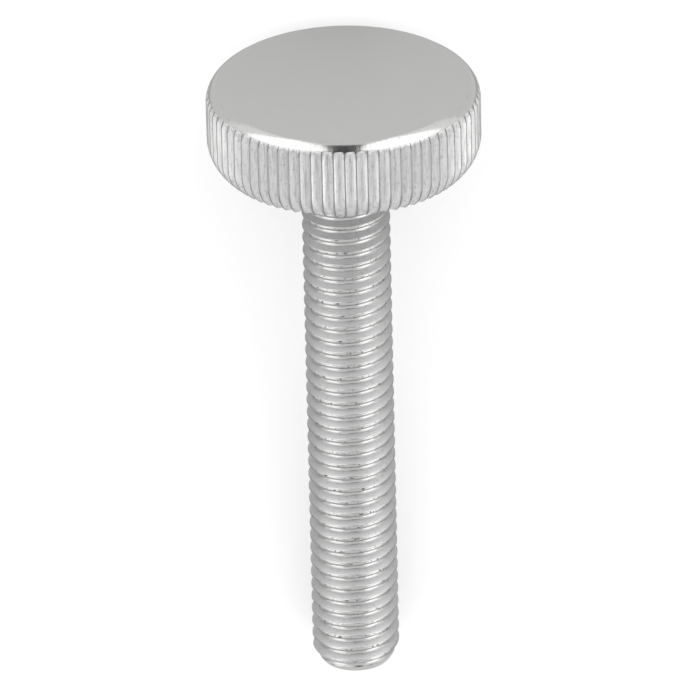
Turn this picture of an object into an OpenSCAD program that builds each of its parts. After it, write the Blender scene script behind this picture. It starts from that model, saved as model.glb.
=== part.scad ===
// Knurled thumb screw, turned and plated as one piece of steel.
// Each sub-part is drawn along the screw's own axis, with the underside of the head at height 0.
// The whole is then laid down as it comes to rest, on the head's rim and the end of the thread,
// with its end towards +X and its middle over the origin.

/* [Head] */
// Diameter over the ridges of the grip
head_d = 24; // [20:0.5:36]
// Height of the head
head_h = 7.4; // [6.6:0.2:12]
// Width of the curved edge between the top and the grip
top_edge_w = 1.05; // [0.6:0.05:1.2]
// Height of the curved edge between the top and the grip
top_edge_h = 1.5; // [1.2:0.1:2.4]
// Width of the curved edge at the underside
low_edge_w = 1.25; // [0.6:0.05:1.6]
// Height of the curved edge at the underside
low_edge_h = 2.5; // [1.6:0.1:3]

/* [Grip] */
// Distance from one ridge to the next, round the rim
ridge_pitch = 1; // [0.8:0.05:1.6]
// Depth of the grooves between the ridges
groove_depth = 0.4; // [0.2:0.05:0.5]
// Width of the flat that is left along each ridge
ridge_land = 0.12; // [0.05:0.01:0.2]
// Depth below the top at which the grooves begin
groove_start = 0.7; // [0.3:0.1:1.1]

/* [Thread] */
// Diameter over the crests of the thread
crest_d = 7.76; // [6:0.02:10]
// Pitch of the thread
thread_pitch = 1.25; // [0.8:0.05:1.75]
// Length of the screw under the head
screw_l = 50; // [16:1:80]
// Turn about the axis at which the thread passes the end of the screw
thread_turn = 0; // [0:5:355]

/* [Neck] */
// Diameter of the plain neck under the head
neck_d = 8; // [7.9:0.05:12]
// Length of the plain neck under the head
neck_l = 3; // [1.5:0.5:6]

/* [Tip] */
// Diameter of the flat end
tip_d = 6.96; // [4:0.02:7.6]
// Length over which the thread tapers to the flat end
tip_l = 1.3; // [0.5:0.1:3]

/* [Hidden] */

head_r = head_d / 2;
crest_r = crest_d / 2;
tip_r = tip_d / 2;
neck_r = neck_d / 2;

// Flank angle, crest width and depth of a metric thread, as shares of the pitch
flank_angle = 30;
crest_w = thread_pitch / 8;
thread_depth = 0.613 * thread_pitch;
flank_w = thread_depth * tan(flank_angle);
root_r = crest_r - thread_depth;
// Flat steps in one turn of the thread
turn_steps = 24;

// Facing of the ridges: as many as fit the rim, a little off the wanted pitch
ridges = round(PI * head_d / ridge_pitch);
ridge_step = 360 / ridges;
land_angle = asin(ridge_land / head_d);

// Fineness of the turned surfaces, and how far a cutter is drawn past what it cuts
smooth = 192;
past = 1;
// Straight steps along each curved edge of the head
edge_steps = 6;

// An arc that leaves the head's side squarely and meets a face w further in and h further on
function edge_arc(w, h) = (w * w + h * h) / (2 * w);
low_arc = edge_arc(low_edge_w, low_edge_h);

// A straight edge laid along the screw touches the end of the full thread and the arc at the
// head's underside. Its slope is how far the screw tips when it lies down.
touch_l = screw_l - tip_l;
rim = [touch_l + low_edge_h, head_r - low_arc - crest_r];
lie_angle = atan2(rim.y, rim.x) + asin(low_arc / norm(rim));
rest_h = crest_r * cos(lie_angle) + touch_l * sin(lie_angle);
// Reach of the end and of the head's top to either side of the head's underside
end_x = screw_l * cos(lie_angle) + tip_r * sin(lie_angle);
head_x = head_h * cos(lie_angle) + (head_r - top_edge_w) * sin(lie_angle);

// Section of the head's outer edge, from the underside up to the top: radius and height
function edge_section() = concat(
    [for (i = [edge_steps : -1 : 0]) [0, 0] + edge_point(low_edge_w, low_edge_h, i, -1)],
    [for (i = [0 : edge_steps]) [0, head_h] + edge_point(top_edge_w, top_edge_h, i, 1)]);

// Point i along an arc from the head's side (0) to the face (edge_steps). The face is above
// the side where way is 1, and below it where way is -1.
function edge_point(w, h, i, way) =
    let (arc = edge_arc(w, h), a = asin(h / arc) * i / edge_steps)
    [head_r - arc + arc * cos(a), way * (arc * sin(a) - h)];

module head_blank() {
    rotate_extrude($fn = smooth) polygon(concat([[0, 0]], edge_section(), [[0, head_h]]));
}

// Outline of the grip: one flat ridge and one V groove at each step
module grip_outline() {
    groove_r = head_r - groove_depth;
    corners = [[head_r, -land_angle], [head_r, land_angle], [groove_r, ridge_step / 2]];
    polygon([for (i = [0 : ridges - 1], corner = corners)
        corner[0] * [cos(i * ridge_step + corner[1]), sin(i * ridge_step + corner[1])]]);
}

// The head, with its rim grooved from the underside up to groove_start below the top
module head() {
    groove_top = head_h - groove_start;
    difference() {
        head_blank();
        difference() {
            translate([0, 0, -past])
                cylinder(h = groove_top + past, r = head_r + past, $fn = smooth);
            translate([0, 0, -2 * past]) linear_extrude(head_h + 3 * past) grip_outline();
        }
    }
}

// Plain neck that carries the head
module neck() {
    translate([0, 0, -neck_l]) cylinder(h = neck_l + past, r = neck_r, $fn = smooth);
}

// Corners of the thread's section, from one root to the next: radius and height
thread_section = [
    [root_r, 0],
    [crest_r, flank_w],
    [crest_r, flank_w + crest_w],
    [root_r, 2 * flank_w + crest_w],
];

// A right-hand thread: its section is carried up a helix, and each turn closes on the next.
// It starts one turn below the end of the screw and finishes inside the neck.
module thread() {
    rows = len(thread_section);
    foot = -screw_l - thread_pitch;
    turns = ceil((-neck_l + thread_pitch - foot) / thread_pitch) + 1;
    steps = turns * turn_steps;

    function at(i, j) = i * rows + j;
    points = [for (i = [0 : steps], corner = thread_section)
        let (a = thread_turn + 360 * i / turn_steps)
        [corner[0] * cos(a), corner[0] * sin(a),
         foot + thread_pitch * i / turn_steps + corner[1]]];
    low_centre = len(points);
    high_centre = low_centre + 1;
    centres = [[0, 0, foot], [0, 0, foot + thread_pitch * turns + thread_section[rows - 1][1]]];

    flanks = [for (i = [0 : steps - 1], j = [0 : rows - 2])
        [at(i, j), at(i, j + 1), at(i + 1, j + 1), at(i + 1, j)]];
    roots = [for (i = [0 : steps - turn_steps - 1])
        [at(i, rows - 1), at(i + turn_steps, 0), at(i + turn_steps + 1, 0), at(i + 1, rows - 1)]];
    low_rim = concat([for (i = [0 : turn_steps]) at(i, 0)],
        [for (j = [rows - 1 : -1 : 1]) at(0, j)]);
    high_rim = concat([for (i = [steps - turn_steps : steps]) at(i, rows - 1)],
        [for (j = [rows - 2 : -1 : 0]) at(steps, j)]);
    low_end = [for (k = [0 : len(low_rim) - 1])
        [low_centre, low_rim[k], low_rim[(k + 1) % len(low_rim)]]];
    high_end = [for (k = [0 : len(high_rim) - 1])
        [high_centre, high_rim[(k + 1) % len(high_rim)], high_rim[k]]];
    polyhedron(concat(points, centres), concat(flanks, roots, low_end, high_end));
}

// What the thread is cut into: a bar with a tapered and faced end
module thread_bar() {
    slope = tip_l / (crest_r - tip_r);
    bar_r = crest_r + past;
    rotate_extrude($fn = smooth) polygon([
        [0, -screw_l], [tip_r, -screw_l],
        [bar_r, -screw_l + slope * (bar_r - tip_r)],
        [bar_r, past], [0, past],
    ]);
}

module thumb_screw() {
    color("silver")
        translate([head_x / 2 - end_x / 2, 0, rest_h])
        rotate([0, lie_angle - 90, 0]) {
            head();
            neck();
            intersection() {
                thread();
                thread_bar();
            }
        }
}

thumb_screw();
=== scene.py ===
"""Looks of a long knurled thumb screw in bright zinc plate, lying on a pale floor.

The screw is one turned and rolled piece of steel, so it is made here as one closed skin: a
knurled head, a waisted neck, a rolled thread and a faced, bevelled tip. Lengths in the classes
are millimetres in the screw's own frame, where z runs along the axis towards the head, the
underside of the head is at 0, and x points to the side that lies uppermost.
"""

import logging
import math
from dataclasses import dataclass, field
from enum import Enum
from typing import Any

import bpy
import numpy as np
from mathutils import Matrix, Vector


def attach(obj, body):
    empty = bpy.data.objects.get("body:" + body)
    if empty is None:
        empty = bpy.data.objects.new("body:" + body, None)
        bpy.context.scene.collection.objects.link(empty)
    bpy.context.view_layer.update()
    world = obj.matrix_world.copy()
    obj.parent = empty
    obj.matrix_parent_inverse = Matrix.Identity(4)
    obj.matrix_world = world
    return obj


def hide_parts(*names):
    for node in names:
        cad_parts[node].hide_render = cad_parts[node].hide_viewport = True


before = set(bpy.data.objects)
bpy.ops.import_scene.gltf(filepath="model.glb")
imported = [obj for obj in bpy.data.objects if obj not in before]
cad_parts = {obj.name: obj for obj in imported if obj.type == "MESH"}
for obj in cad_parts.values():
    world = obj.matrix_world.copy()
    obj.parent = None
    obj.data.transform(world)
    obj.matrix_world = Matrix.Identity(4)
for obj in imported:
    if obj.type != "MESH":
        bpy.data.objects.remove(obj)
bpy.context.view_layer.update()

log = logging.getLogger("thumb_screw")
MM = 0.001
WELD_MM = 0.0005
# One of these marks is painted shade: a dark line along the crest of each knurled ridge.
MARKS = ("dull", "worn", "drawn", "pecked")


def linear(code: str) -> tuple[float, float, float, float]:
    """Turns an sRGB hex colour into the linear values that a shader takes.

    Args:
        code: The colour as #RRGGBB.

    Returns:
        Linear red, green, blue and an alpha of 1.
    """
    parts = [int(code[i : i + 2], 16) / 255 for i in (1, 3, 5)]
    red, green, blue = (
        c / 12.92 if c <= 0.04045 else ((c + 0.055) / 1.055) ** 2.4 for c in parts
    )
    return red, green, blue, 1.0


def add_node(
    tree: bpy.types.NodeTree,
    kind: str,
    settings: dict[str, Any] | None = None,
    values: dict[str, Any] | None = None,
    links: dict[str, bpy.types.NodeSocket] | None = None,
) -> bpy.types.Node:
    """Adds one node to a tree.

    Args:
        tree: The tree that takes the node.
        kind: Blender's name for the node's type.
        settings: The node's own properties.
        values: Constant values, by the name of the input or by its number.
        links: Output sockets to join, by the name of the input or by its number.

    Returns:
        The new node.
    """
    node = tree.nodes.new(kind)
    for name, value in (settings or {}).items():
        setattr(node, name, value)
    for name, value in (values or {}).items():
        node.inputs[name].default_value = value
    for name, socket in (links or {}).items():
        tree.links.new(socket, node.inputs[name])
    return node


def blank(name: str) -> tuple[bpy.types.Material, bpy.types.NodeTree]:
    """Makes a material with no nodes in it.

    Args:
        name: The name of the finish.

    Returns:
        The material and its tree.
    """
    material = bpy.data.materials.new(name)
    material.use_nodes = True
    material.node_tree.nodes.clear()
    return material, material.node_tree


def noise(
    tree: bpy.types.NodeTree,
    place: bpy.types.NodeSocket,
    grain_mm: float,
    detail: float,
    roughness: float = 0.5,
) -> bpy.types.NodeSocket:
    """Adds a noise texture whose grain has a real size.

    Args:
        tree: The tree that takes the texture.
        place: Where the noise is looked up, in metres.
        grain_mm: Size of the grain in millimetres.
        detail: How many finer layers lie over the first.
        roughness: How strong the finer layers are.

    Returns:
        The noise, about 0.5 on average.
    """
    return add_node(
        tree,
        "ShaderNodeTexNoise",
        values={"Scale": 1 / (grain_mm * MM), "Detail": detail, "Roughness": roughness},
        links={"Vector": place},
    ).outputs["Fac"]


def combined(
    tree: bpy.types.NodeTree,
    operation: str,
    first: bpy.types.NodeSocket,
    second: bpy.types.NodeSocket | float,
) -> bpy.types.NodeSocket:
    """Joins two values by a sum, a product or the larger of both.

    Args:
        tree: The tree that takes the node.
        operation: Blender's name for the operation. A sum is held between 0 and 1.
        first: The first value.
        second: The second value, a socket or a constant.

    Returns:
        The result.
    """
    settings = {"operation": operation, "use_clamp": operation == "ADD"}
    node = add_node(tree, "ShaderNodeMath", settings, links={0: first})
    if isinstance(second, float):
        node.inputs[1].default_value = second
    else:
        tree.links.new(second, node.inputs[1])
    return node.outputs[0]


def grid_quads(above: np.ndarray, below: np.ndarray) -> np.ndarray:
    """Joins two equal rows of vertex numbers with quads, closed round the ring.

    Args:
        above: Vertex numbers of the row nearer the head, in order round the axis.
        below: Vertex numbers of the row nearer the tip, in the same order.

    Returns:
        Quads whose normals point away from the axis.
    """
    return np.stack(
        [below, np.roll(below, -1, -1), np.roll(above, -1, -1), above], -1
    ).reshape(-1, 4)


@dataclass
class Lie:
    """How the screw lies on the floor, taken from the arcs and lengths that touch it."""

    touch_l: float = 48.7
    crest_r: float = 3.88
    rim_z: float = 2.5
    rim_r: float = 12.0
    rim_arc: float = 3.125
    end: tuple[float, float] = (50.0, 3.48)
    top: tuple[float, float] = (7.4, 10.95)

    @property
    def dip(self) -> float:
        """Angle in radians by which the axis dips towards the tip."""
        run, rise = self.touch_l + self.rim_z, self.rim_r - self.rim_arc - self.crest_r
        return math.atan2(rise, run) + math.asin(self.rim_arc / math.hypot(run, rise))

    @property
    def origin(self) -> tuple[float, float]:
        """Where the middle of the head's underside lies: its x and z in millimetres."""
        sine, cosine = math.sin(self.dip), math.cos(self.dip)
        reach = self.end[0] * cosine + self.end[1] * sine
        back = self.top[0] * cosine + self.top[1] * sine
        return (back - reach) / 2, self.crest_r * cosine + self.touch_l * sine

    def direction(self, own: Vector) -> Vector:
        """A direction of the screw's own frame, as seen in the frame of the part.

        Args:
            own: The direction along the screw's own x, y and z.

        Returns:
            The same direction along the part's x, y and z.
        """
        sine, cosine = math.sin(self.dip), math.cos(self.dip)
        return Vector(
            (own.x * sine - own.z * cosine, own.y, own.x * cosine + own.z * sine)
        )

    def place(self, own: np.ndarray) -> np.ndarray:
        """Lays points of the screw's own frame down on the floor.

        The points are turned about y until the axis dips by the lie's angle, then moved so
        that the underside's middle comes to its place, and the lengths become metres.

        Args:
            own: Points in millimetres, one a row.

        Returns:
            The points in the frame of the part, in metres.
        """
        sine, cosine = math.sin(self.dip), math.cos(self.dip)
        x0, z0 = self.origin
        return MM * np.stack(
            [
                own[:, 0] * sine - own[:, 2] * cosine + x0,
                own[:, 1],
                own[:, 0] * cosine + own[:, 2] * sine + z0,
            ],
            1,
        )


@dataclass
class Skin:
    """Gathers vertices and faces of one closed surface, with marks for its finish.

    Each mark runs from 0 to 1 at a vertex: how dull the plate is, how much painted shade
    darkens a ridge's crest, how far the surface is drawn into streaks along the axis, and how
    pecked it is with specks.
    """

    points: list[np.ndarray] = field(default_factory=list)
    marks: dict[str, list[np.ndarray]] = field(
        default_factory=lambda: {mark: [] for mark in MARKS}
    )
    faces: list[np.ndarray] = field(default_factory=list)
    count: int = 0

    def add(self, points: np.ndarray, **marks: np.ndarray | float) -> np.ndarray:
        """Takes in points and returns their vertex numbers, in the points' own shape.

        Args:
            points: An array of points whose last axis is x, y, z.
            marks: The points' marks by name, where they aren't 0.

        Returns:
            The numbers, with the same leading shape.
        """
        flat = points.reshape(-1, 3)
        numbers = np.arange(self.count, self.count + len(flat))
        self.points.append(flat)
        for mark in MARKS:
            values = np.broadcast_to(marks.get(mark, 0.0), points.shape[:-1])
            self.marks[mark].append(values.ravel())
        self.count += len(flat)
        return numbers.reshape(points.shape[:-1])

    def join(self, faces: np.ndarray) -> None:
        """Takes in faces.

        Args:
            faces: Rows of three or four vertex numbers, in order round each face.
        """
        self.faces.append(faces)

    def cap(self, ring: np.ndarray, centre: tuple[float, float, float]) -> None:
        """Closes a ring with a fan to one point on the axis.

        Args:
            ring: Vertex numbers of the ring, so turned that the fan faces outwards.
            centre: The point in which the fan meets.
        """
        pole = self.add(np.array([centre]))[0]
        self.join(np.stack([ring, np.roll(ring, -1), np.full_like(ring, pole)], 1))

    def build(self, name: str, lie: Lie) -> bpy.types.Object:
        """Makes the mesh object, laid down in its place, with doubles merged.

        Args:
            name: The object's name.
            lie: How the screw lies.

        Returns:
            The new object, linked to the scene.
        """
        co, corners = lie.place(np.concatenate(self.points)), []
        keys = np.round(co / (WELD_MM * MM)).astype(np.int64)
        _, first, back = np.unique(keys, axis=0, return_index=True, return_inverse=True)
        back = back.reshape(-1)
        for faces in self.faces:
            merged = back[faces]
            if merged.shape[1] == 3:
                corners.append(merged)
                continue
            lower, upper = merged[:, [0, 1, 2]], merged[:, [0, 2, 3]]
            corners += [lower, upper]
        tris = np.concatenate(corners)
        kept = (
            (tris[:, 0] != tris[:, 1])
            & (tris[:, 1] != tris[:, 2])
            & (tris[:, 2] != tris[:, 0])
        )
        tris = tris[kept].astype(np.int32)
        mesh = bpy.data.meshes.new(name)
        mesh.vertices.add(len(first))
        mesh.vertices.foreach_set("co", co[first].astype(np.float32).ravel())
        mesh.loops.add(tris.size)
        mesh.loops.foreach_set("vertex_index", tris.ravel())
        mesh.polygons.add(len(tris))
        mesh.polygons.foreach_set("loop_start", np.arange(0, tris.size, 3, dtype=np.int32))
        mesh.update(calc_edges=True)
        for mark, values in self.marks.items():
            layer = mesh.attributes.new(mark, "FLOAT", "POINT")
            layer.data.foreach_set("value", np.concatenate(values)[first].astype(np.float32))
        mesh.validate()
        piece = bpy.data.objects.new(name, mesh)
        bpy.context.scene.collection.objects.link(piece)
        return piece


@dataclass
class Head:
    """The knurled head: a flat top, curved edges and sharp ridges round the rim.

    Its radius and height stay a hair inside the solid's. Each edge is given by its width and
    height, and the fade by the heights between which the knurl runs out below the top.
    """

    radius: float = 11.985
    height: float = 7.37
    top_edge: tuple[float, float] = (0.9, 1.5)
    low_edge: tuple[float, float] = (1.25, 2.5)
    ridges: int = 75
    groove: float = 0.4
    land: float = 0.12
    soft: float = 0.03
    fade: tuple[float, float] = (6.35, 6.75)
    fade_power: float = 0.6
    dull_from: float = 0.25
    # Share of each ridge, round its crest, that is darkened with painted shade.
    worn_share: float = 0.12
    specks: float = 0.2
    inset: float = 0.05

    @property
    def columns(self) -> np.ndarray:
        """Angles of the mesh's columns: eight to a ridge, closer along its crest and root."""
        half = math.pi / self.ridges
        share = np.array([-0.935, -0.17, -0.09, 0.0, 0.09, 0.17, 0.935, 1.0])
        steps = np.arange(self.ridges)[:, None] * 2 * half
        return (steps + share * half).ravel()

    def cut(self, angle: np.ndarray) -> np.ndarray:
        """Depth of the knurl below the rim at an angle.

        The groove's side falls in a straight line from the edge of the ridge's land to the
        middle of the groove. Both corners are eased by a soft step in place of a sharp one.

        Args:
            angle: Angles round the axis in radians.

        Returns:
            Depths in millimetres, from 0 on a ridge to nearly the groove's depth.
        """
        half = math.pi / self.ridges
        off = np.abs((angle + half) % (2 * half) - half) * self.radius
        land, width = self.land / 2, half * self.radius
        run = (off - land) / (width - land)
        eased = np.logaddexp(0, run / self.soft) - np.logaddexp(0, (run - 1) / self.soft)
        return self.groove * self.soft * eased

    def section(self) -> tuple[np.ndarray, np.ndarray]:
        """Radius and height along the outer edge, from the top's edge to the underside's.

        Each curved edge is an arc that leaves the side squarely, and meets its face after the
        edge's width and height.

        Returns:
            Radii and heights in millimetres.
        """
        (tw, th), (lw, lh) = self.top_edge, self.low_edge
        top, low = (tw * tw + th * th) / (2 * tw), (lw * lw + lh * lh) / (2 * lw)
        a = np.linspace(math.asin(th / top), 0, 22)
        b = np.linspace(0, math.asin(lh / low), 18)
        side = np.linspace(self.height - th, lh, 5)[1:-1]
        radius = [
            self.radius - top + top * np.cos(a),
            np.full_like(side, self.radius),
            self.radius - low + low * np.cos(b),
        ]
        height = [self.height - th + top * np.sin(a), side, lh - low * np.sin(b)]
        return np.concatenate(radius), np.concatenate(height)

    def grow(self, skin: Skin) -> np.ndarray:
        """Adds the head's outside to the skin.

        A point's radius is the smaller of two: the section's radius at its height, and the
        rim's less the knurl's depth. The depth fades to nothing just below the top. Along the
        lower edge the grooves draw in with the section.

        Args:
            skin: The surface that takes the head.

        Returns:
            Vertex numbers of the ring where the rim meets the underside.
        """
        angle = self.columns
        radius, height = self.section()
        start, stop = self.fade
        share = np.clip((stop - height) / (stop - start), 0, 1)
        depth = self.cut(angle)[None, :] * share[:, None] ** self.fade_power
        drawn = np.where(height < self.low_edge[1], radius / self.radius, 1)[:, None]
        r = np.minimum(radius[:, None], (self.radius - depth) * drawn)
        z = np.broadcast_to(height[:, None], r.shape)
        dull = np.clip(depth / (self.dull_from * self.groove), 0, 1)
        half = math.pi / self.ridges
        off = np.abs((angle + half) % (2 * half) - half) / half
        # Painted shade: a thin dark line along the crest of each knurled ridge, in place of the
        # shade that falls beside the ridges.
        worn = np.where(off < self.worn_share, 1.0, 0.0) * (share > 0)[:, None]
        rows = skin.add(
            np.stack([r * np.cos(angle), r * np.sin(angle), z], -1),
            dull=dull,
            worn=worn,
            drawn=np.sign(share)[:, None],
            pecked=self.specks,
        )
        skin.join(grid_quads(rows[:-1], rows[1:]))
        inner = radius[0] - self.inset
        rim = skin.add(
            np.stack(
                [
                    inner * np.cos(angle),
                    inner * np.sin(angle),
                    np.full_like(angle, self.height),
                ],
                -1,
            )
        )
        skin.join(grid_quads(rim, rows[0]))
        skin.cap(rim, (0.0, 0.0, self.height))
        return rows[-1]


@dataclass
class Shank:
    """The neck, the rolled thread and the faced tip, in one sheared grid round a helix.

    The fade gives the heights between which the neck grows into the full thread, and the taper
    the heights and radii of the tip's bevel. The thread stands out of its roots by its depth,
    of which the rounded root takes its share. The flank that faces the tip is the most pecked.
    """

    length: float = 50.0
    pitch: float = 1.25
    crest_r: float = 3.88
    depth: float = 0.54
    flank: float = 37.0
    crest: float = 0.2
    neck_r: float = 3.55
    neck_l: float = 2.5
    fillet: float = 0.3
    root_arc: float = 0.09
    rounded: float = 0.1
    turn: float = 135.0
    columns: int = 75
    fade: tuple[float, float] = (-2.5, -3.7)
    taper: tuple[tuple[float, float], ...] = (
        (-48.7, 3.88),
        (-49.96, 3.14),
        (-50.0, 3.1),
    )
    dull_gain: float = 15.0
    dull_start: float = 0.6
    specks: tuple[float, float, float] = (1.0, 0.15, 0.1)
    speck_band: tuple[float, float] = (0.15, 0.06)

    def section(self) -> tuple[np.ndarray, np.ndarray]:
        """One pitch of the thread: how far along it each point is, and its radius.

        From the middle of a root: a flat root, an arc that turns up into the flank, the flank
        at its angle from square, and a crest with eased corners. The other half mirrors it.

        Returns:
            Places along the axis in millimetres, from the middle of a root, and radii.
        """
        lean = math.tan(math.radians(self.flank))
        half, top = self.pitch / 2, self.crest / 2
        root_r = self.crest_r - self.depth
        foot = half - top - self.depth * lean
        arc = self.root_arc
        reach = arc * math.tan(math.radians(90 - self.flank) / 2)
        a = np.radians(90 - self.flank) * np.array([0.0, 0.33, 0.67, 1.0])
        z = [0.0, *(foot - reach + arc * np.sin(a))]
        r = [root_r, *(root_r + arc * (1 - np.cos(a)))]
        flank = self.depth - self.rounded
        for share in (0.88, 0.12):
            z.append(half - top - share * flank * lean)
            r.append(self.crest_r - share * flank)
        z += [half - top - 0.03 * lean, half - top + 0.01, half - top + 0.045, half]
        r += [self.crest_r - 0.03, self.crest_r - 0.01, self.crest_r - 0.002, self.crest_r]
        z, r = np.array(z), np.array(r)
        return (
            np.concatenate([z, self.pitch - z[-2:0:-1]]),
            np.concatenate([r, r[-2:0:-1]]),
        )

    def radius(self, z: np.ndarray, angle: np.ndarray) -> np.ndarray:
        """Radius of the shank at a height and an angle.

        The thread's section repeats with each pitch and shifts by one pitch in each turn.
        Near the neck it fades into the neck's radius, and near the end the taper and the
        bevel of the tip cut it down.

        Args:
            z: Heights in millimetres, negative below the head.
            angle: Angles round the axis in radians.

        Returns:
            Radii in millimetres.
        """
        along, radius = self.section()
        phase = (z + self.length) - self.pitch * (angle - math.radians(self.turn)) / (
            2 * math.pi
        )
        thread = np.interp(
            phase % self.pitch, np.append(along, self.pitch), np.append(radius, radius[0])
        )
        start, stop = self.fade
        share = np.clip((start - z) / (start - stop), 0, 1)
        share = share * share * (3 - 2 * share)
        thread = self.neck_r + (thread - self.neck_r) * share
        places, limits = np.array(self.taper)[::-1].T
        limit = np.interp(z, places, limits)
        limit = np.where(z > places[-1], self.neck_r + self.crest_r, limit)
        return np.minimum(thread, limit)

    def bevelled(self, z: np.ndarray, radius: np.ndarray) -> np.ndarray:
        """Says which points lie on the turned bevel of the tip, which the rolls don't reach.

        Args:
            z: Heights in millimetres.
            radius: The points' radii in millimetres.

        Returns:
            True where the bevel sets the radius.
        """
        places, limits = np.array(self.taper)[::-1].T
        return (z < self.taper[0][0]) & (radius > np.interp(z, places, limits) - 0.001)

    def grow(self, skin: Skin, rim: np.ndarray, rim_angle: np.ndarray) -> None:
        """Adds the underside, the neck, the thread and the tip to the skin.

        Rows of the grid follow the helix, so that creases fall on rows. A row's last column
        meets the first column of the row one pitch further up. Rows that would pass the neck
        or the tip are held at its height, where they close up.

        Args:
            skin: The surface that takes the shank.
            rim: Vertex numbers where the head's rim meets the underside.
            rim_angle: Their angles in radians.
        """
        angle = np.arange(self.columns) * 2 * math.pi / self.columns
        along, _ = self.section()
        rows = len(along)
        low, high = -self.length, -self.neck_l
        turns = math.ceil((high - low) / self.pitch) + 3
        start = low - 2 * self.pitch + self.pitch * (-self.turn / 360 % 1)
        own = (start + self.pitch * np.arange(turns)[:, None] + along).ravel()
        z = np.clip(own[:, None] + self.pitch * angle / (2 * math.pi), low, high)
        r = self.radius(z, np.broadcast_to(angle, z.shape))
        part = (r - self.crest_r + self.depth) / self.depth
        dull = np.clip(
            self.dull_gain * np.minimum(part, 1 - part) - self.dull_start, 0.0, 1
        )
        turned = self.bevelled(z, r)
        dull = np.where(turned, 0.0, dull)
        past_root, past_crest = self.speck_band
        faces_tip = (along > past_root) & (along < self.pitch / 2 + past_crest)
        most, few, fewest = self.specks
        rolled = np.tile(np.where(faces_tip, most, few), turns)[:, None]
        pecked = np.where(turned | (z >= high), fewest, rolled)
        grid = skin.add(
            np.stack([r * np.cos(angle), r * np.sin(angle), z], -1), dull=dull, pecked=pecked
        )
        inner = grid[:, :-1], grid[:, 1:]
        skin.join(
            np.stack(
                [inner[0][:-1], inner[1][:-1], inner[1][1:], inner[0][1:]], -1
            ).reshape(-1, 4)
        )
        last, first = grid[:-rows, -1], grid[rows:, 0]
        skin.join(np.stack([last[:-1], first[:-1], first[1:], last[1:]], -1))
        self.face_tip(skin, angle)
        self.join_head(skin, angle, rim, rim_angle)

    def face_tip(self, skin: Skin, angle: np.ndarray) -> None:
        """Closes the tip: the ring that ends the thread, capped to the axis.

        Args:
            skin: The surface that takes the cap.
            angle: Angles of the columns in radians.
        """
        z = np.full_like(angle, -self.length)
        r = self.radius(z, angle)
        ring = skin.add(np.stack([r * np.cos(angle), r * np.sin(angle), z], -1))
        skin.cap(ring[::-1], (0.0, 0.0, -self.length))

    def join_head(
        self, skin: Skin, angle: np.ndarray, rim: np.ndarray, rim_angle: np.ndarray
    ) -> None:
        """Carries the neck up to the underside with a small fillet, and out to the rim.

        Args:
            skin: The surface that takes the neck.
            angle: Angles of the shank's columns in radians.
            rim: Vertex numbers where the head's rim meets the underside.
            rim_angle: Their angles in radians.
        """
        a = np.radians(np.array([90.0, 60.0, 30.0, 0.0]))
        heights = np.concatenate([[-self.neck_l], -self.fillet + self.fillet * np.cos(a)])
        radii = np.concatenate([[self.neck_r], self.neck_r + self.fillet * (1 - np.sin(a))])
        ring = np.stack(
            [
                radii[:, None] * np.cos(angle),
                radii[:, None] * np.sin(angle),
                np.broadcast_to(heights[:, None], (len(radii), len(angle))),
            ],
            -1,
        )
        neck = skin.add(ring)
        skin.join(grid_quads(neck[1:], neck[:-1]))
        each = len(rim) // self.columns
        turn = int(np.argmin(np.abs(rim_angle)))
        outer = np.roll(rim, -turn)
        outer = np.append(outer, outer[0])
        top = np.append(neck[-1], neck[-1][0])
        k = np.arange(self.columns)[:, None] * each
        half = each // 2
        near, far = k + np.arange(half), k + half + np.arange(each - half)
        base, other = top[:-1, None], top[1:, None]
        skin.join(
            np.stack(
                np.broadcast_arrays(base, outer[near + 1], outer[near]), -1
            ).reshape(-1, 3)
        )
        skin.join(
            np.stack(
                np.broadcast_arrays(other, outer[far + 1], outer[far]), -1
            ).reshape(-1, 3)
        )
        skin.join(np.stack([top[:-1], top[1:], outer[k[:, 0] + half]], 1))


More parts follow.
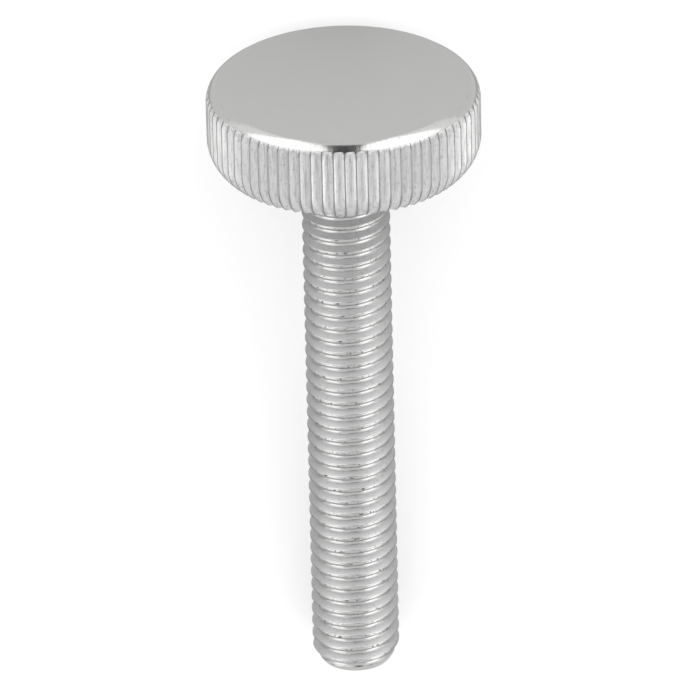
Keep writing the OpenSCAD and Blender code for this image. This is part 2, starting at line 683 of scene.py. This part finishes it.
@dataclass(frozen=True)
class ZincPlate:
    """Bright zinc plate over turned and rolled steel.

    Barrel plating leaves a thin bright skin: turned faces mirror softly, with a faint
    cloudiness a few millimetres wide, while the flanks of the thread and of the knurl, torn a
    little by the rolls, come out duller and finely pitted.
    """

    name: str = "bright_zinc_plate_on_steel"
    bright: str = "#BBBBBA"
    matt: str = "#C4C4C4"
    cut: str = "#DEDEDE"
    # Grey of the drawn streaks on the knurl, and of the painted shade along its ridge crests.
    streak_grey_and_painted_shade: str = "#8A8A8A"
    fleck: str = "#5A5A5A"
    rough_bright: float = 0.16
    rough_dull: float = 0.6
    rough_cut: float = 0.8
    cloud_mm: float = 3.0
    pit_mm: float = 0.25
    fleck_mm: float = 0.35
    grain_mm: float = 0.12
    drawn_out: float = 12.0
    mottled: float = 0.1
    grain_deep_mm: float = 0.01
    pit_deep_mm: float = 0.03

    def streaks(
        self, tree: bpy.types.NodeTree, place: bpy.types.NodeSocket, axis: Vector
    ) -> bpy.types.NodeSocket:
        """Draws noise out into streaks along the screw's axis.

        A point's part along the axis is shortened before the noise is looked up, so that the
        noise changes slowly that way and quickly round the rim.

        Args:
            tree: The material's tree.
            place: The object coordinates.
            axis: Direction of the screw's axis in the frame of the part.

        Returns:
            The noise, about 0.5 on average.
        """
        along = add_node(
            tree,
            "ShaderNodeVectorMath",
            settings={"operation": "DOT_PRODUCT"},
            values={1: axis * (1 / self.drawn_out - 1)},
            links={0: place},
        ).outputs["Value"]
        less = add_node(
            tree,
            "ShaderNodeVectorMath",
            settings={"operation": "SCALE"},
            values={0: axis},
            links={"Scale": along},
        ).outputs["Vector"]
        pressed = add_node(
            tree,
            "ShaderNodeVectorMath",
            settings={"operation": "ADD"},
            links={0: place, 1: less},
        ).outputs["Vector"]
        return noise(tree, pressed, self.grain_mm, 2.0)

    def make(self, axis: Vector) -> bpy.types.Material:
        """Builds the material's nodes.

        Args:
            axis: Direction of the screw's axis in the frame of the part.

        Returns:
            The zinc plate, with patterns on object coordinates and on the mesh's marks.
        """
        material, tree = blank(self.name)
        place = add_node(tree, "ShaderNodeTexCoord").outputs["Object"]
        dull, worn, drawn, pecked = (
            add_node(
                tree, "ShaderNodeAttribute", settings={"attribute_name": mark}
            ).outputs["Fac"]
            for mark in MARKS
        )
        cloud = noise(tree, place, self.cloud_mm, 3.0, 0.55)
        pits = noise(tree, place, self.pit_mm, 1.0)
        grain = noise(tree, place, self.grain_mm, 2.0)
        flecks = noise(tree, place, self.fleck_mm, 3.0, 0.7)
        mottle = add_node(
            tree,
            "ShaderNodeMapRange",
            values={
                "From Min": 0.3,
                "From Max": 0.7,
                "To Min": -self.mottled,
                "To Max": self.mottled,
            },
            links={"Value": cloud},
        ).outputs["Result"]
        greyed = combined(tree, "ADD", dull, mottle)
        colour = add_node(
            tree,
            "ShaderNodeMix",
            settings={"data_type": "RGBA"},
            values={6: linear(self.bright), 7: linear(self.matt)},
            links={0: greyed},
        ).outputs[2]
        darkest = add_node(
            tree,
            "ShaderNodeMapRange",
            values={"From Min": 0.56, "From Max": 0.64},
            links={"Value": flecks},
        ).outputs["Result"]
        streak = add_node(
            tree,
            "ShaderNodeMapRange",
            values={"From Min": 0.45, "From Max": 0.66, "To Max": 0.3},
            links={"Value": self.streaks(tree, place, axis)},
        ).outputs["Result"]
        for code, share in (
            (self.cut, combined(tree, "MULTIPLY", dull, drawn)),
            (self.streak_grey_and_painted_shade, combined(tree, "MULTIPLY", streak, drawn)),
            # Painted shade: the crests of the knurl's ridges are darkened to this grey.
            (self.streak_grey_and_painted_shade, worn),
            (self.fleck, combined(tree, "MULTIPLY", darkest, pecked)),
        ):
            colour = add_node(
                tree,
                "ShaderNodeMix",
                settings={"data_type": "RGBA"},
                values={7: linear(code)},
                links={0: share, 6: colour},
            ).outputs[2]
        matt = add_node(
            tree,
            "ShaderNodeMapRange",
            values={"To Min": self.rough_dull, "To Max": self.rough_cut},
            links={"Value": drawn},
        ).outputs["Result"]
        rough = add_node(
            tree,
            "ShaderNodeMapRange",
            values={"To Min": self.rough_bright},
            links={"Value": greyed, "To Max": matt},
        ).outputs["Result"]
        depth = add_node(
            tree,
            "ShaderNodeMapRange",
            values={"To Min": 0.05, "To Max": 0.5},
            links={"Value": dull},
        ).outputs["Result"]
        fine = add_node(
            tree,
            "ShaderNodeBump",
            values={"Strength": 0.12, "Distance": self.grain_deep_mm * MM},
            links={"Height": grain},
        ).outputs["Normal"]
        pitted = add_node(
            tree,
            "ShaderNodeBump",
            values={"Distance": self.pit_deep_mm * MM},
            links={"Height": pits, "Strength": depth, "Normal": fine},
        ).outputs["Normal"]
        shader = add_node(
            tree,
            "ShaderNodeBsdfPrincipled",
            values={"Metallic": 1.0},
            links={"Base Color": colour, "Roughness": rough, "Normal": pitted},
        )
        add_node(
            tree, "ShaderNodeOutputMaterial", links={"Surface": shader.outputs["BSDF"]}
        )
        return material


@dataclass
class ThumbScrew:
    """The whole screw: head, neck, thread and tip in one plated piece."""

    lie: Lie = field(default_factory=Lie)
    head: Head = field(default_factory=Head)
    shank: Shank = field(default_factory=Shank)
    finish: ZincPlate = field(default_factory=ZincPlate)
    crease: float = 24.0

    def build(self) -> bpy.types.Object:
        """Makes the screw, plates it and sets it on its body.

        Returns:
            The finished piece.
        """
        skin = Skin()
        rim = self.head.grow(skin)
        self.shank.grow(skin, rim, self.head.columns)
        piece = skin.build("knurled_screw", self.lie)
        piece.data.shade_smooth()
        piece.data.set_sharp_from_angle(angle=math.radians(self.crease))
        piece.data.materials.append(
            self.finish.make(self.lie.direction(Vector((0.0, 0.0, 1.0))))
        )
        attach(piece, "root")
        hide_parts("thumb_screw")
        return piece


@dataclass
class View:
    """The camera: its height over the head's plane, its roll, and what it centres on."""

    lie: Lie
    rise: float = 28.655
    roll: float = 1.357
    distance: float = 947.0
    focal_px: float = 10844.8
    aim: tuple[float, float] = (0.0745, -16.733)
    image_px: int = 700
    sensor: float = 36.0
    clip: tuple[float, float] = (0.05, 10.0)

    def build(self) -> bpy.types.Object:
        """Makes the camera.

        The camera looks at the screw from the side that lies uppermost, above the plane of
        the head's underside by the rise, and is rolled about its own line of sight.

        Returns:
            The camera, set as the scene's own.
        """
        rise, roll = math.radians(self.rise), math.radians(self.roll)
        back = Vector((math.cos(rise), 0, math.sin(rise)))
        up = Vector((-math.sin(rise), 0, math.cos(rise)))
        right = Vector((0, 1, 0))
        x0, z0 = self.lie.origin
        spot = self.aim[0] * right + self.aim[1] * up + self.distance * back
        where = (self.lie.direction(spot) + Vector((x0, 0, z0))) * MM
        axes = [
            math.cos(roll) * right - math.sin(roll) * up,
            math.sin(roll) * right + math.cos(roll) * up,
            back,
        ]
        turned = Matrix([self.lie.direction(a) for a in axes]).transposed()
        data = bpy.data.cameras.new("camera")
        data.sensor_width = self.sensor
        data.lens = self.focal_px / self.image_px * self.sensor
        data.clip_start, data.clip_end = self.clip
        camera = bpy.data.objects.new("camera", data)
        camera.matrix_world = Matrix.Translation(where) @ turned.to_4x4()
        bpy.context.scene.collection.objects.link(camera)
        bpy.context.scene.camera = camera
        return camera


class Side(Enum):
    """Where a soft box hangs, as the direction from the screw to its middle."""

    HEAD_LEFT = (-0.64, -0.58, 0.5)
    HEAD_RIGHT = (-0.64, 0.58, 0.5)
    TIP_LEFT = (0.55, -0.71, 0.44)
    TIP_RIGHT = (0.55, 0.71, 0.44)


@dataclass
class SoftBox:
    """A square lamp that faces the screw and isn't seen by the camera itself."""

    side: Side
    size: float
    radiance: float
    distance: float = 1.0

    def build(self) -> bpy.types.Object:
        """Hangs the lamp. Its power is its radiance times its area times pi.

        Returns:
            The lamp.
        """
        data = bpy.data.lights.new(f"soft_box_{self.side.name.lower()}", "AREA")
        data.shape = "SQUARE"
        data.size = self.size
        data.energy = self.radiance * math.pi * self.size**2
        lamp = bpy.data.objects.new(data.name, data)
        way = Vector(self.side.value).normalized()
        turned = way.to_track_quat("Z", "Y").to_matrix().to_4x4()
        lamp.matrix_world = Matrix.Translation(way * self.distance) @ turned
        lamp.visible_camera = False
        bpy.context.scene.collection.objects.link(lamp)
        return lamp


@dataclass
class Studio:
    """A plain pale floor in a bright white room, with soft boxes.

    The flag is given by its distance in metres, half its width in degrees, and how high its
    lower and upper edges stand in degrees. The card is given by half its length and half its
    width, and a strip by its back, its front and how near it comes to the middle, in metres.
    """

    floor_half: float = 4.0
    floor_colour: str = "#D6D6D6"
    glow: float = 0.3
    room: float = 1.0
    flag: tuple[float, float, float, float] = (0.8, 10.0, 24.0, 72.0)
    flag_colour: str = "#404040"
    card: tuple[float, float] = (0.08, 0.06)
    card_colour: str = "#DEDEDE"
    strip: tuple[float, float, float] = (-0.029, 0.06, 0.009)
    strip_colour: str = "#B8B8B8"
    boxes: tuple[SoftBox, ...] = (
        SoftBox(Side.HEAD_LEFT, 1.0, 1.1),
        SoftBox(Side.HEAD_RIGHT, 1.0, 1.2),
        SoftBox(Side.TIP_LEFT, 0.6, 0.9),
        SoftBox(Side.TIP_RIGHT, 0.6, 1.1),
    )

    def build(self) -> None:
        """Lays the floor, hangs the lamps and sets the room's light."""
        self.lay_floor()
        self.hang_flag()
        self.lay_cards()
        for box in self.boxes:
            box.build()
        world = bpy.data.worlds.new("white_room")
        world.use_nodes = True
        world.node_tree.nodes.clear()
        room = add_node(
            world.node_tree,
            "ShaderNodeBackground",
            values={"Color": (1.0, 1.0, 1.0, 1.0), "Strength": self.room},
        )
        add_node(
            world.node_tree,
            "ShaderNodeOutputWorld",
            links={"Surface": room.outputs["Background"]},
        )
        bpy.context.scene.world = world
        bpy.context.scene.view_settings.view_transform = "Standard"

    def mirrored(
        self, name: str, finish: str, colour: str, corners: list[tuple[float, float, float]]
    ) -> bpy.types.Object:
        """Makes a matt board that only reflections see, so the floor takes nothing from it.

        Args:
            name: The board's name.
            finish: The name of what it is made of.
            colour: Its colour as #RRGGBB.
            corners: Its four corners in metres.

        Returns:
            The board.
        """
        material, tree = blank(finish)
        felt = add_node(tree, "ShaderNodeBsdfDiffuse", values={"Color": linear(colour)})
        add_node(tree, "ShaderNodeOutputMaterial", links={"Surface": felt.outputs[0]})
        mesh = bpy.data.meshes.new(name)
        mesh.from_pydata(corners, [], [(0, 1, 2, 3)])
        mesh.materials.append(material)
        board = bpy.data.objects.new(name, mesh)
        bpy.context.scene.collection.objects.link(board)
        for way in ("camera", "diffuse", "transmission", "shadow"):
            setattr(board, f"visible_{way}", False)
        return board

    def hang_flag(self) -> bpy.types.Object:
        """Hangs a dark board round the line of sight, as a camera's own dark front would be.

        Returns:
            The board.
        """
        distance, half, low, high = self.flag
        side = distance * math.sin(math.radians(half))
        (x0, z0), (x1, z1) = (
            (-distance * math.cos(math.radians(rise)), distance * math.sin(math.radians(rise)))
            for rise in (low, high)
        )
        corners = [(x0, -side, z0), (x0, side, z0), (x1, side, z1), (x1, -side, z1)]
        return self.mirrored("flag", "black_felt_board", self.flag_colour, corners)

    def lay_cards(self) -> None:
        """Lays a pale card under the screw and a greyer strip on each side of it.

        They tone down the white floor in the head's top and draw the edges of the shank.
        """
        x, y = self.card
        z = 0.01 * MM
        corners = [(-x, -y, z), (x, -y, z), (x, y, z), (-x, y, z)]
        self.mirrored("card", "pale_grey_card", self.card_colour, corners)
        back, front, near = self.strip
        for side in (-1, 1):
            a, b, z = side * near, side * y, 0.02 * MM
            corners = [(back, a, z), (front, a, z), (front, b, z), (back, b, z)]
            self.mirrored("strip", "grey_card", self.strip_colour, corners[::side])

    def lay_floor(self) -> bpy.types.Object:
        """Lays a flat sheet under the screw.

        Its paper is matt and takes the screw's shadow. For the camera and in reflections a
        little glow is added, so that the sheet away from the shadow comes out white.

        Returns:
            The floor.
        """
        material, tree = blank("matt_white_paper")
        path = add_node(tree, "ShaderNodeLightPath")
        seen = combined(
            tree, "MAXIMUM", path.outputs["Is Camera Ray"], path.outputs["Is Glossy Ray"]
        )
        shown = combined(tree, "MAXIMUM", seen, path.outputs["Is Transmission Ray"])
        strength = combined(tree, "MULTIPLY", shown, self.glow)
        paper = add_node(
            tree,
            "ShaderNodeBsdfDiffuse",
            values={"Color": linear(self.floor_colour)},
        )
        glow = add_node(
            tree,
            "ShaderNodeEmission",
            values={"Color": (1.0, 1.0, 1.0, 1.0)},
            links={"Strength": strength},
        )
        both = add_node(
            tree,
            "ShaderNodeAddShader",
            links={0: paper.outputs[0], 1: glow.outputs[0]},
        )
        add_node(tree, "ShaderNodeOutputMaterial", links={"Surface": both.outputs[0]})
        half = self.floor_half
        mesh = bpy.data.meshes.new("floor")
        corners = [(-half, -half, 0), (half, -half, 0), (half, half, 0), (-half, half, 0)]
        mesh.from_pydata(corners, [], [(0, 1, 2, 3)])
        mesh.materials.append(material)
        floor = bpy.data.objects.new("floor", mesh)
        bpy.context.scene.collection.objects.link(floor)
        return floor


def main() -> None:
    """Builds the screw, the camera and the studio."""
    screw = ThumbScrew()
    piece = screw.build()
    log.info("%s: %d triangles", piece.name, len(piece.data.polygons))
    View(screw.lie).build()
    Studio().build()


if __name__ == "__main__":
    logging.basicConfig(level=logging.INFO)
    main()
